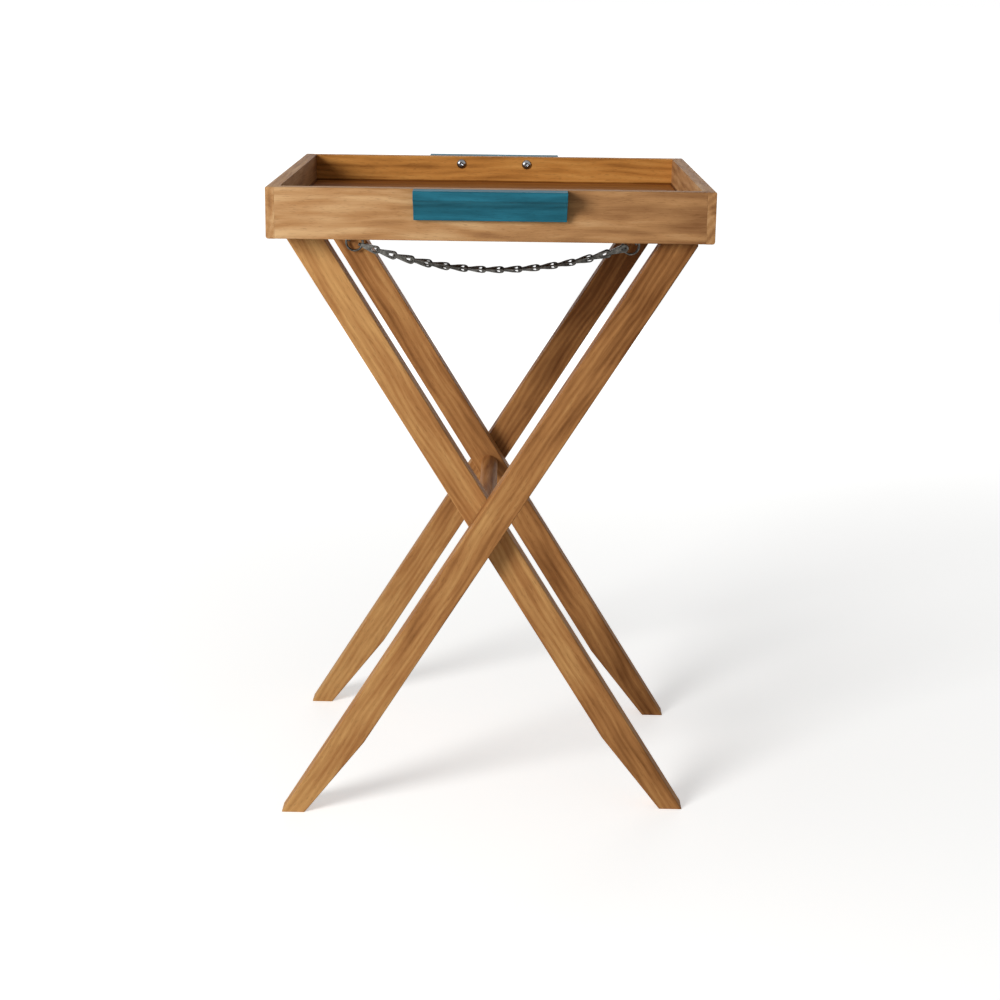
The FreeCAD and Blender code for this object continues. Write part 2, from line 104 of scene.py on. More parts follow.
def smooth_rise(x: float, start: float, end: float) -> float:
    """Gives a smooth rise from 0 to 1.

    Args:
        x: where along the rise.
        start: where it starts.
        end: where it ends.

    Returns:
        0 before the start, 1 after the end, and a smooth curve between them.
    """
    share = min(max((x - start) / (end - start), 0.0), 1.0)
    return share * share * (3 - 2 * share)


class GrainRun(Enum):
    """Turns that bring a piece's grain on to the X axis, as Euler angles."""

    ALONG_TRAY = (0.0, 0.0, 0.0)
    ACROSS_TRAY = (0.0, 0.0, -math.pi / 2)
    UP_OUTER_LEG = (0.0, math.pi / 2 - LEAN, 0.0)
    UP_INNER_LEG = (0.0, math.pi / 2 + LEAN, 0.0)


class Kind(Enum):
    """Kinds of named inputs that a Geometry Nodes tree has."""

    COUNT = "NodeSocketInt"
    NUMBER = "NodeSocketFloat"
    PLACE = "NodeSocketVector"
    FINISH = "NodeSocketMaterial"


@dataclass(frozen=True)
class Cut:
    """How one piece was cut from its log, and the painted shade that some pieces carry in their
    tone.

    Attributes:
        run: the way its grain runs.
        shift: where it lay in the log, in metres along, across and through the grain.
        drift: how much its tone rises in a metre along the grain; on some pieces it is painted
            shade.
        tone: how much lighter the whole piece is than its log; on some pieces it is painted shade.
        middle: where along the grain the drift is nought, in metres.
    """

    run: GrainRun
    shift: tuple[float, float, float]
    drift: float = 0.0
    tone: float = 0.0
    middle: float = 0.0


@dataclass(frozen=True)
class Streak:
    """A noise that is drawn out along the grain.

    Attributes:
        long_mm: length of a streak.
        wide_mm: width of a streak.
        detail: octaves of finer streaks inside it.
        roughness: how strong those are.
    """

    long_mm: float
    wide_mm: float
    detail: float
    roughness: float = 0.55

    def add(self, tree: NodeTree, board: NodeSocket, out: str = "Fac") -> NodeSocket:
        """Adds the noise to a material.

        Args:
            tree: the material's tree.
            board: coordinates with the grain along X.
            out: the noise's output that is wanted.

        Returns:
            That output, from 0 to 1.
        """
        across = 1 / (self.wide_mm * MM)
        drawn = add_node(tree, "ShaderNodeMapping", {
            "Vector": board, "Scale": (1 / (self.long_mm * MM), across, across)})
        return add_node(tree, "ShaderNodeTexNoise", {
            "Vector": drawn, "Scale": 1.0, "Detail": self.detail, "Roughness": self.roughness}, out)


# No tree grows straight, so the grain sways a few millimetres to either side along a board.
SWAY = Streak(long_mm=190, wide_mm=75, detail=2.0)
# Darker and paler wood lies in clouds about a finger wide.
CLOUD = Streak(long_mm=110, wide_mm=17, detail=2.5)
# Real fibres are too fine to show, so they are drawn coarser, as bundles.
FIBRE = Streak(long_mm=60, wide_mm=1.6, detail=4.0)
# Real pores are a third as wide, too fine to show, so they are drawn coarser.
PORE = Streak(long_mm=9, wide_mm=0.9, detail=1.0)
# Most of the fibres' noise lies between these values.
FIBRE_RANGE = (0.25, 0.75)
# Noise above the first value starts to be a pore, and above the second is one.
PORE_EDGE = (0.58, 0.70)
# Rings change ten times as slowly along the trunk as across it.
TRUNK_STRETCH = (0.1, 1, 1)
# From one ring of a Wave texture to the next, at a scale of 1.
WAVE_STEP = 0.1 * math.pi
# How the rings wander from true circles.
RING_WANDER = {"Distortion": 9.0, "Detail": 3.0, "Detail Scale": 0.3, "Detail Roughness": 0.5}
# How squarely a face has to look along the grain to start to be end grain, and to be all of it.
END_FACING = (0.8, 0.98)
# Tones at which the dark, middle and light colours stand.
COLOURS_AT = (0.08, 0.5, 0.92)
# How far the painted shade in the floor's corner keeps its full darkness, and where it fades out.
CORNER_SHADE_MM = (1.2, 2.8)
# How far past the walls' faces still counts as inside the tray, so that the faces do.
CORNER_SLACK_MM = 0.5
# Looks round a point that find an edge near it.
EDGE_SAMPLES = 6
# Octaves in a metal's patches of tarnish and in its grit.
METAL_DETAIL = (4.0, 2.0)
# Noise above the first value starts to be rubbed bright, and above the second is.
RUBBED_EDGE = (0.40, 0.72)
# Most of the patches' noise lies between these values.
PATCH_RANGE = (0.3, 0.7)
# How much rougher a metal's dull patches are, and how much smoother its rubbed ones.
METAL_SWING = (0.1, 0.08)
# Halvings that find the curve of the chain to the last digit.
HALVINGS = 60


@dataclass(frozen=True)
class Hardwood:
    """Planed hardwood with an oil or stain finish, sanded to a satin feel.

    Its growth rings make long flames, its fibres fine streaks, and its open pores short dark
    dashes, which also break up the gloss. The eye reads the flames first and the pores close up.
    Tone runs from 0, the darkest wood, to 1, the palest, and the shares say how far each pattern
    moves it.

    Attributes:
        name: what the wood is and how it was finished.
        dark: colour of the darkest wood.
        middle: colour of most of the wood.
        light: colour of the palest wood.
        pore: colour in the pores.
        ring_mm: width of a growth ring.
        ring_share: share of the rings.
        fibre_share: share of the fibres.
        cloud_share: share of the clouds.
        sway_mm: how far the grain sways, from side to side.
        end_share: how much darker end grain is.
        corner_shade_share: how much darker the painted shade in the floor's corner is.
        pore_depth: how much of the pores' colour shows.
        roughness: roughness of the finish.
        roughness_swing: how far the roughness goes up and down from fibre to fibre.
        gloss: specular level of the finish.
        edge_mm: radius to which the edges are eased.
        relief: how strongly fibres and pores stand out.
        relief_mm: height from a pore to a fibre.
    """

    name: str
    dark: str
    middle: str
    light: str
    pore: str
    ring_mm: float = 7.0
    ring_share: float = 0.16
    fibre_share: float = 0.3
    cloud_share: float = 1.15
    sway_mm: float = 20.0
    end_share: float = 0.04
    # Darkness of the painted shade in the corner round the tray's floor.
    corner_shade_share: float = 0.6
    pore_depth: float = 0.25
    roughness: float = 0.6
    roughness_swing: float = 0.07
    gloss: float = 0.08
    edge_mm: float = 0.8
    relief: float = 0.2
    relief_mm: float = 0.12

    def material(self, piece: str, cut: Cut,
                 corner: tuple[float, float, float] | None = None) -> Material:
        """Makes the material of one piece.

        Args:
            piece: the piece's name.
            cut: how the piece was cut from its log.
            corner: half width, half depth and height of the corner that the tray's floor makes with
                its walls, for a piece that has part of it.

        Returns:
            The material.
        """
        material = bpy.data.materials.new(f"{self.name}_{piece}")
        material.use_nodes = True
        tree = material.node_tree
        place = add_node(tree, "ShaderNodeTexCoord").node.outputs
        turned, facing = (add_node(tree, "ShaderNodeMapping", {
            "Vector": place[source], "Rotation": cut.run.value}) for source in ("Object", "Normal"))
        board = add_node(tree, "ShaderNodeMapping", {"Vector": turned, "Location": cut.shift})
        sway = add_node(tree, "ShaderNodeVectorMath", {
            0: SWAY.add(tree, board, "Color"), 1: (0.5, 0.5, 0.5)}, operation="SUBTRACT")
        board = add_node(tree, "ShaderNodeVectorMath", {
            0: sway, 1: (0.0, self.sway_mm * MM, self.sway_mm * MM), 2: board},
            operation="MULTIPLY_ADD")
        fibre = FIBRE.add(tree, board)
        along = add_node(tree, "ShaderNodeSeparateXYZ", {0: turned})
        level = 0.5 + cut.tone - cut.drift * cut.middle
        level -= (self.ring_share + self.fibre_share + self.cloud_share) / 2
        tone = add_node(tree, "ShaderNodeMath", {0: along, 1: cut.drift, 2: level},
                        operation="MULTIPLY_ADD")
        shares = [(self.rings(tree, board), self.ring_share), (fibre, self.fibre_share),
                  (CLOUD.add(tree, board), self.cloud_share),
                  (self.end_grain(tree, facing), -self.end_share)]
        if corner:
            # Painted shade: a dark line where the tray's floor meets its walls.
            shares.append((self.painted_corner_shade(tree, place["Object"], corner), -self.corner_shade_share))
        for source, share in shares:
            tone = add_node(tree, "ShaderNodeMath", {0: source, 1: share, 2: tone},
                            operation="MULTIPLY_ADD")
        self.finish(tree, tone, board, fibre)
        return material

    def rings(self, tree: NodeTree, board: NodeSocket) -> NodeSocket:
        """Adds rings that lie round the log's heart, off the board, and wander along the grain.

        Args:
            tree: the material's tree.
            board: coordinates in the log, with the grain along X.

        Returns:
            The rings, from 0 to 1.
        """
        trunk = add_node(tree, "ShaderNodeMapping", {"Vector": board, "Scale": TRUNK_STRETCH})
        return add_node(tree, "ShaderNodeTexWave", {
            "Vector": trunk, "Scale": WAVE_STEP / (self.ring_mm * MM), **RING_WANDER}, "Fac",
            wave_type="RINGS", rings_direction="X", wave_profile="SIN")

    @staticmethod
    def end_grain(tree: NodeTree, facing: NodeSocket) -> NodeSocket:
        """Adds the test for end grain, which drinks more oil than the face and so turns darker.

        Args:
            tree: the material's tree.
            facing: which way the surface looks, with the grain along X.

        Returns:
            1 on end grain, and 0 on the faces.
        """
        squarely = add_node(tree, "ShaderNodeMath", {
            0: add_node(tree, "ShaderNodeSeparateXYZ", {0: facing})}, operation="ABSOLUTE")
        return add_node(tree, "ShaderNodeMapRange", {
            "Value": squarely, "From Min": END_FACING[0], "From Max": END_FACING[1]})

    def finish(self, tree: NodeTree, tone: NodeSocket,
               board: NodeSocket, fibre: NodeSocket) -> None:
        """Joins colour, gloss and relief to the shader.

        Args:
            tree: the material's tree.
            tone: the tone of the wood.
            board: coordinates in the log, with the grain along X.
            fibre: the noise of the fibres.
        """
        shader = tree.nodes["Principled BSDF"]
        shader.inputs["Specular IOR Level"].default_value = self.gloss
        wood = add_node(tree, "ShaderNodeValToRGB", {0: tone})
        ramp = wood.node.color_ramp.elements
        ramp.new(COLOURS_AT[1])
        for element, at, code in zip(ramp, COLOURS_AT, (self.dark, self.middle, self.light)):
            element.position = at
            element.color = linear(code)
        open_pore = add_node(tree, "ShaderNodeMapRange", {
            "Value": PORE.add(tree, board), "From Min": PORE_EDGE[0], "From Max": PORE_EDGE[1],
            "To Max": self.pore_depth})
        # Sockets 6 and 7 of a Mix node are its two colours, and output 2 is their mix.
        colour = add_node(tree, "ShaderNodeMix", {
            0: open_pore, 6: wood, 7: linear(self.pore)}, 2, data_type="RGBA")
        tree.links.new(colour, shader.inputs["Base Color"])
        dull = add_node(tree, "ShaderNodeMapRange", {
            "Value": fibre, "From Min": FIBRE_RANGE[0], "From Max": FIBRE_RANGE[1],
            "To Min": self.roughness + self.roughness_swing,
            "To Max": self.roughness - self.roughness_swing})
        tree.links.new(dull, shader.inputs["Roughness"])
        # Worked edges are eased by hand, so they catch a thin line of light.
        eased = add_node(tree, "ShaderNodeBevel", {"Radius": self.edge_mm * MM},
                         samples=EDGE_SAMPLES)
        height = add_node(tree, "ShaderNodeMath", {0: fibre, 1: open_pore}, operation="SUBTRACT")
        relief = add_node(tree, "ShaderNodeBump", {
            "Strength": self.relief, "Distance": self.relief_mm * MM, "Height": height,
            "Normal": eased})
        tree.links.new(relief, shader.inputs["Normal"])

    @staticmethod
    def painted_corner_shade(tree: NodeTree, place: NodeSocket,
                    corner: tuple[float, float, float]) -> NodeSocket:
        """Adds painted shade: a dark line in the corner between the tray's floor and its walls.

        Args:
            tree: the material's tree.
            place: the piece's own coordinates.
            corner: half width, half depth and height of the corner.

        Returns:
            1 in the line, and 0 away from it and outside the tray.
        """
        axes = add_node(tree, "ShaderNodeSeparateXYZ", {0: place}).node.outputs
        walls = []
        for axis, half in zip(axes, corner[:2]):
            side = add_node(tree, "ShaderNodeMath", {0: axis}, operation="ABSOLUTE")
            walls.append(add_node(tree, "ShaderNodeMath", {0: side, 1: half}, operation="SUBTRACT"))
        past = add_node(tree, "ShaderNodeMath", {0: walls[0], 1: walls[1]}, operation="MAXIMUM")
        short = add_node(tree, "ShaderNodeMath", {0: past, 1: -1.0}, operation="MULTIPLY")
        above = add_node(tree, "ShaderNodeMath", {0: axes[2], 1: corner[2]}, operation="SUBTRACT")
        away = add_node(tree, "ShaderNodeMath", {0: short, 1: above}, operation="MAXIMUM")
        near = add_node(tree, "ShaderNodeMapRange", {
            "Value": away, "From Min": CORNER_SHADE_MM[0] * MM, "From Max": CORNER_SHADE_MM[1] * MM,
            "To Min": 1.0, "To Max": 0.0})
        inside = add_node(tree, "ShaderNodeMath", {0: past, 1: CORNER_SLACK_MM * MM},
                          operation="LESS_THAN")
        return add_node(tree, "ShaderNodeMath", {0: near, 1: inside}, operation="MULTIPLY")


@dataclass(frozen=True)
class Metal:
    """Plated or blackened metal, with a soft cloud of tarnish and wear on it.

    Tarnish dulls the gloss in patches a few millimetres wide, and rubbing brightens others, which
    keeps small ironwork from looking like plastic.

    Attributes:
        name: what the metal is and how it was finished.
        tarnish: colour where it is dull.
        rubbed: colour where it is rubbed bright.
        metallic: how much of it is bare or plated metal.
        roughness: roughness between the dull and the rubbed patches.
        patch_mm: width of a patch of tarnish.
        grit_mm: width of the grit left by the finish. Real grit is finer, and is drawn coarser so
            that it shows.
        relief: how strongly the grit stands out.
        relief_mm: height of the grit.
    """

    name: str
    tarnish: str
    rubbed: str
    metallic: float
    roughness: float
    patch_mm: float = 5.0
    grit_mm: float = 0.5
    relief: float = 0.2
    relief_mm: float = 0.1

    def material(self) -> Material:
        """Makes the material.

        Returns:
            The material.
        """
        material = bpy.data.materials.new(self.name)
        material.use_nodes = True
        tree = material.node_tree
        shader = tree.nodes["Principled BSDF"]
        shader.inputs["Metallic"].default_value = self.metallic
        place = add_node(tree, "ShaderNodeTexCoord", out="Object")
        patch, grit = (add_node(tree, "ShaderNodeTexNoise", {
            "Vector": place, "Scale": 1 / (width * MM), "Detail": detail}, "Fac")
            for width, detail in zip((self.patch_mm, self.grit_mm), METAL_DETAIL))
        wear = add_node(tree, "ShaderNodeMapRange", {
            "Value": patch, "From Min": RUBBED_EDGE[0], "From Max": RUBBED_EDGE[1]})
        # Sockets 6 and 7 of a Mix node are its two colours, and output 2 is their mix.
        colour = add_node(tree, "ShaderNodeMix", {
            0: wear, 6: linear(self.tarnish), 7: linear(self.rubbed)}, 2, data_type="RGBA")
        tree.links.new(colour, shader.inputs["Base Color"])
        # Dull patches are a little rougher, and rubbed ones a little smoother.
        dull = add_node(tree, "ShaderNodeMapRange", {
            "Value": patch, "From Min": PATCH_RANGE[0], "From Max": PATCH_RANGE[1],
            "To Min": self.roughness + METAL_SWING[0], "To Max": self.roughness - METAL_SWING[1]})
        tree.links.new(dull, shader.inputs["Roughness"])
        relief = add_node(tree, "ShaderNodeBump", {
            "Strength": self.relief, "Distance": self.relief_mm * MM, "Height": grit})
        tree.links.new(relief, shader.inputs["Normal"])
        return material


# The picture doesn't tell which hardwood it is, so its names say no more than that.
# Pale hardwood, planed and oiled: honey brown, with broad soft clouds and little gloss.
TRAY_OIL = Hardwood("oiled_pale_hardwood", dark="#7d5230", middle="#b28355", light="#d3ab7c",
                    pore="#5a381c")
# Rear board's hardwood, planed and oiled, made redder and deeper: painted warm bounce light.
BOUNCE_LIT_OIL = Hardwood("oiled_hardwood_painted_bounce", dark="#7a4818", middle="#c58641", light="#e0a55a",
                         pore="#4c2b12")
# Hardwood of the legs, planed and oiled: mid brown, with flames that run the length of a leg.
LEG_OIL = Hardwood("oiled_brown_hardwood", dark="#6f4320", middle="#a87443", light="#c9995f",
                   pore="#4f2e15")
# Hardwood of the floor's thin panel, planed and oiled: the darkest brown of the table.
FLOOR_OIL = Hardwood("oiled_dark_hardwood", dark="#542d10", middle="#864f20", light="#a86c30",
                     pore="#341b0b")
# Hardwood under a petrol-blue stain: the grain shows through it in darker streaks.
PETROL_STAIN = Hardwood("petrol_stained_hardwood", dark="#11434e", middle="#226577",
                        light="#328398", pore="#0c2c31", ring_mm=9.0, gloss=0.1)
# Iron wire and strip, blackened: dark grey, a little brown, and paler where it is rubbed.
BLACK_IRON = Metal("blackened_iron", tarnish="#454441", rubbed="#777570", metallic=0.95,
                   roughness=0.34)
# Gunmetal bolts, polished: small dark domes that each hold one sharp light.
GUNMETAL = Metal("polished_gunmetal", tarnish="#77787b", rubbed="#9a9b9d", metallic=1.0,
                 roughness=0.2, patch_mm=4.0)
# Steel washers, which are hidden and taken to be zinc plated: pale grey and softly dull.
ZINC_PLATE = Metal("zinc_plated_steel", tarnish="#9fa2a5", rubbed="#c6c8ca", metallic=1.0,
                   roughness=0.35)


def paint(name: str, material: Material) -> None:
    """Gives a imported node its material.

    Args:
        name: the node's name.
        material: what it is dressed in.
    """
    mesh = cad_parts[name].data
    mesh.materials.clear()
    mesh.materials.append(material)
    LOG.info("dressed %s in %s", name, material.name)


def mesh_piece(name: str, shape: BMesh) -> Mesh:
    """Turns a built shape into a smooth mesh with closed seams and outward faces.

    Args:
        name: the mesh's name.
        shape: the shape, which is freed.

    Returns:
        The mesh.
    """
    bmesh.ops.remove_doubles(shape, verts=shape.verts, dist=WELD)
    bmesh.ops.recalc_face_normals(shape, faces=shape.faces)
    for face in shape.faces:
        face.smooth = True
    mesh = bpy.data.meshes.new(name)
    shape.to_mesh(mesh)
    shape.free()
    return mesh


def skin(shape: BMesh, loops: list[list[BMVert]]) -> None:
    """Joins closed loops of points, one after another, with a band of faces.

    Args:
        shape: the shape that gets the faces.
        loops: the loops, with as many points in each.
    """
    for first, second in zip(loops, loops[1:]):
        for n in range(len(first)):
            after = (n + 1) % len(first)
            shape.faces.new((first[n], first[after], second[after], second[n]))


def new_tree(name: str, sizes: dict[str, Kind]) -> tuple[NodeTree, dict[str, NodeSocket]]:
    """Starts a Geometry Nodes tree with named inputs.

    Args:
        name: the tree's name.
        sizes: the kind of each named input, after the geometry.

    Returns:
        The tree and its input sockets by name.
    """
    tree = bpy.data.node_groups.new(name, "GeometryNodeTree")
    for way in ("INPUT", "OUTPUT"):
        tree.interface.new_socket("Geometry", in_out=way, socket_type="NodeSocketGeometry")
    for label, kind in sizes.items():
        tree.interface.new_socket(label, in_out="INPUT", socket_type=kind.value)
    start = add_node(tree, "NodeGroupInput")
    return tree, {socket.name: socket for socket in start.node.outputs if socket.name}


def end_tree(tree: NodeTree, shape: NodeSocket, finish: NodeSocket) -> None:
    """Ends a Geometry Nodes tree with real meshes in one finish.

    Args:
        tree: the tree.
        shape: what it has made.
        finish: its material input.
    """
    real = add_node(tree, "GeometryNodeRealizeInstances", {0: shape})
    smooth = add_node(tree, "GeometryNodeSetShadeSmooth", {0: real})
    dressed = add_node(tree, "GeometryNodeSetMaterial", {0: smooth, "Material": finish})
    add_node(tree, "NodeGroupOutput", {0: dressed})


def bake(name: str, tree: NodeTree, values: dict[str, object], base: Mesh | None = None) -> Object:
    """Runs a Geometry Nodes tree once and keeps what it makes as a plain mesh.

    Args:
        name: the new piece's name.
        tree: the tree to run.
        values: the values of its named inputs.
        base: the mesh that it starts from.

    Returns:
        The piece, at the origin with its place in its mesh.
    """
    piece = bpy.data.objects.new(name, base or bpy.data.meshes.new(name))
    bpy.context.scene.collection.objects.link(piece)
    modifier = piece.modifiers.new("pattern", "NODES")
    modifier.node_group = tree
    for item in tree.interface.items_tree:
        if item.in_out == "INPUT" and item.name in values:
            modifier[item.identifier] = values[item.name]
    graph = bpy.context.evaluated_depsgraph_get()
    made = bpy.data.meshes.new_from_object(piece.evaluated_get(graph))
    piece.modifiers.remove(modifier)
    piece.data = made
    made.name = name
    return piece


def fit(piece: Object, body: str, slot: str, *nodes: str) -> None:
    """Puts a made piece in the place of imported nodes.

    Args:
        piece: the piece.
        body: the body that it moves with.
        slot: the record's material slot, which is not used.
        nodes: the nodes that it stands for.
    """
    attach(piece, body)
    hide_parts(*nodes)
    LOG.info("made %s, %d faces, on %s", piece.name, len(piece.data.polygons), body)


@dataclass
class Tray:
    """The lift-off tray: four boards, a floor panel, two handles and their bolts.

    Attributes:
        cuts: finish of each wooden piece, and how it was cut; the left board's tone also carries
            painted shade.
        bolt_head_mm: width of a bolt's dome head.
        bolt_crown_mm: height of the head.
        bolt_side_mm: height of the head's straight side.
        bolt_ease_mm: how far the head's edge on the board is eased.
        bolt_shank_mm: width of the shank.
        key_mm: width of the hexagon socket, flat to flat.
        key_depth_mm: depth of the socket.
        key_rim_mm: width of the flat ring round the socket.
        key_ease_mm: how far the socket's mouth is eased, outwards and downwards.
        dome_steps: loops of points up the dome.
        segments: points round a bolt.
    """

    cuts: dict[str, tuple[Hardwood, Cut]] = field(default_factory=lambda: {
        "tray_front_board": (TRAY_OIL, Cut(
            GrainRun.ALONG_TRAY, (0.3, 0.06, -0.65), drift=-0.8, middle=-0.05)),
        # The rear board's redder colour is painted warm light bounced between the tray's walls.
        "tray_rear_board": (BOUNCE_LIT_OIL, Cut(
            GrainRun.ALONG_TRAY, (1.7, -0.16, -0.66), drift=0.1)),
        # Painted shade: darker overall and darker towards the rear, for the shade on the inner face.
        "tray_left_board": (TRAY_OIL, Cut(
            GrainRun.ACROSS_TRAY, (2.9, 0.20, -0.70), drift=-0.7, tone=-0.05)),
        "tray_right_board": (TRAY_OIL, Cut(
            GrainRun.ACROSS_TRAY, (4.1, 0.31, -0.67), drift=-0.2, tone=-0.04)),
        "tray_floor_panel": (FLOOR_OIL, Cut(
            GrainRun.ALONG_TRAY, (5.2, 0.1, -0.60), drift=0.5, tone=0.2)),
        "front_handle": (PETROL_STAIN, Cut(GrainRun.ALONG_TRAY, (6.3, 0.05, -0.71))),
        "rear_handle": (PETROL_STAIN, Cut(GrainRun.ALONG_TRAY, (7.4, -0.3, -0.71))),
    })
    bolt_head_mm: float = 12.0
    bolt_crown_mm: float = 3.8
    bolt_side_mm: float = 0.9
    bolt_ease_mm: float = 0.3
    bolt_shank_mm: float = 6.0
    key_mm: float = 4.0
    key_depth_mm: float = 2.0
    key_rim_mm: float = 0.35
    key_ease_mm: tuple[float, float] = (0.12, 0.15)
    dome_steps: int = 8
    segments: int = 36

    @staticmethod
    def floor_corner() -> tuple[float, float, float]:
        """Gives half the width, half the depth and the height of the corner round the floor."""
        return (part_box("tray_right_board")[0].x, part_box("tray_rear_board")[0].y,
                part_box("tray_floor_panel")[1].z)

    def dress(self) -> None:
        """Gives the tray's wooden pieces their grain, and its corner its painted shade."""
        for name, (wood, cut) in self.cuts.items():
            # The boards and the floor meet in the corner that gets painted shade, and the handles
            # are outside.
            corner = self.floor_corner() if name.startswith("tray_") else None
            paint(name, wood.material(name, cut, corner))

    @staticmethod
    def hexagon(flat: float, angle: float) -> float:
        """Gives how far a hexagon's edge is from its middle.

        Args:
            flat: from the middle to a flat.
            angle: the way to look from the middle.

        Returns:
            The distance.
        """
        nearest = (angle + math.pi / 6) % (math.pi / 3) - math.pi / 6
        return flat / math.cos(abs(nearest) - math.pi / 6)

    def head_edge(self) -> list[tuple[float, float]]:
        """Draws the outline of a bolt's head, from the board to the flat ring round the socket.

        Returns:
            Radius and height of each point.
        """
        rim = self.bolt_head_mm / 2 * MM
        side = self.bolt_side_mm * MM
        ease = self.bolt_ease_mm * MM
        mouth = self.key_mm / 2 * MM / math.cos(math.pi / 6) + self.key_rim_mm * MM
        last_turn = math.acos(mouth / rim)
        edge = [(rim - ease, 0.0), (rim, ease), (rim, side)]
        for step in range(1, self.dome_steps + 1):
            turn = step / self.dome_steps * last_turn
            rise = (self.bolt_crown_mm * MM - side) * math.sin(turn) / math.sin(last_turn)
            edge.append((rim * math.cos(turn), side + rise))
        return edge

    def bolt(self, shank: float) -> Mesh:
        """Builds one bolt that points along +Y, with its head at -Y.

        Args:
            shank: length under the head, in metres.

        Returns:
            The bolt's mesh.
        """
        crown = self.bolt_crown_mm * MM
        stem = self.bolt_shank_mm / 2 * MM
        flat = self.key_mm / 2 * MM
        floor = crown - self.key_depth_mm * MM
        widen, sink = (ease * MM for ease in self.key_ease_mm)
        angles = [2 * math.pi * step / self.segments for step in range(self.segments)]
        edge = [(0.0, -shank), (stem, -shank), (stem, 0.0), *self.head_edge()]
        lines = [([radius] * self.segments, height) for radius, height in edge]
        lines += [([self.hexagon(half, a) for a in angles], height) for half, height in (
            (flat + widen, crown), (flat, crown - sink), (flat, floor), (0.0, floor))]
        shape = bmesh.new()
        skin(shape, [[shape.verts.new((reach * math.cos(a), -height, reach * math.sin(a)))
                      for reach, a in zip(reaches, angles)] for reaches, height in lines])
        return mesh_piece("handle_bolt", shape)

    def build(self) -> None:
        """Makes the four handle bolts as one pattern."""
        low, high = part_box("handle_bolts")
        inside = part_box("tray_rear_board")[0].y
        tree, sizes = new_tree("bolt_pattern", {
            "Across": Kind.NUMBER, "Deep": Kind.NUMBER, "Middle": Kind.PLACE,
            "Finish": Kind.FINISH})
        corners = add_node(tree, "GeometryNodeMeshGrid", {
            "Size X": sizes["Across"], "Size Y": sizes["Deep"], "Vertices X": 2,
            "Vertices Y": 2}, "Mesh")
        spot = add_node(tree, "GeometryNodeInputPosition")
        depth = add_node(tree, "ShaderNodeSeparateXYZ", {0: spot}, "Y")
        front = add_node(tree, "FunctionNodeCompare", {0: depth, 1: 0.0}, data_type="FLOAT",
                         operation="LESS_THAN")
        half_turn = add_node(tree, "ShaderNodeMath", {0: front, 1: math.pi}, operation="MULTIPLY")
        turn = add_node(tree, "ShaderNodeCombineXYZ", {2: half_turn})
        bolts = add_node(tree, "GeometryNodeInstanceOnPoints", {
            "Points": corners, "Instance": sizes["Geometry"], "Rotation": turn})
        placed = add_node(tree, "GeometryNodeTransform", {
            "Geometry": bolts, "Translation": sizes["Middle"]})
        end_tree(tree, placed, sizes["Finish"])
        piece = bake("dome_bolts", tree, {
            "Across": high.x - low.x - self.bolt_head_mm * MM, "Deep": 2 * inside,
            "Middle": tuple((low + high) / 2), "Finish": GUNMETAL.material()},
            self.bolt(high.y - inside))
        fit(piece, "tray", "bolt_metal", "handle_bolts")


@dataclass
class Stand:
    """The folding stand: two leg frames that cross on a dowel.

    Attributes:
        cuts: how each wooden piece was cut; the rear legs' tone also carries painted shade.
    """

    cuts: dict[str, Cut] = field(default_factory=lambda: {
        "outer_leg_front": Cut(
            GrainRun.UP_OUTER_LEG, (0.2, 0.21, 0.10), drift=-0.6, middle=0.3),
        # Painted shade: darker overall and darker towards the top, where the tray shades the leg.
        "outer_leg_rear": Cut(
            GrainRun.UP_OUTER_LEG, (1.3, -0.12, 0.08), drift=-0.9, tone=-0.06, middle=0.3),
        "inner_leg_front": Cut(
            GrainRun.UP_INNER_LEG, (2.4, 0.18, 0.36), drift=0.2, tone=0.09, middle=0.3),
        # Painted shade: darker overall, as this leg stands in shade.
        "inner_leg_rear": Cut(
            GrainRun.UP_INNER_LEG, (3.5, -0.08, 0.33), drift=0.1, tone=-0.08, middle=0.3),
        "inner_top_rail": Cut(GrainRun.ACROSS_TRAY, (4.6, 0.26, -0.65), tone=-0.1),
        "outer_top_rail": Cut(GrainRun.ACROSS_TRAY, (5.7, -0.17, -0.66), tone=-0.1),
        "pivot_dowel": Cut(GrainRun.ACROSS_TRAY, (6.8, 0.05, -0.30), tone=-0.12),
    })

    def dress(self) -> None:
        """Gives the legs, rails and dowel their grain, and the washers their plating."""
        for name, cut in self.cuts.items():
            paint(name, LEG_OIL.material(name, cut))
        paint("pivot_washers", ZINC_PLATE.material())


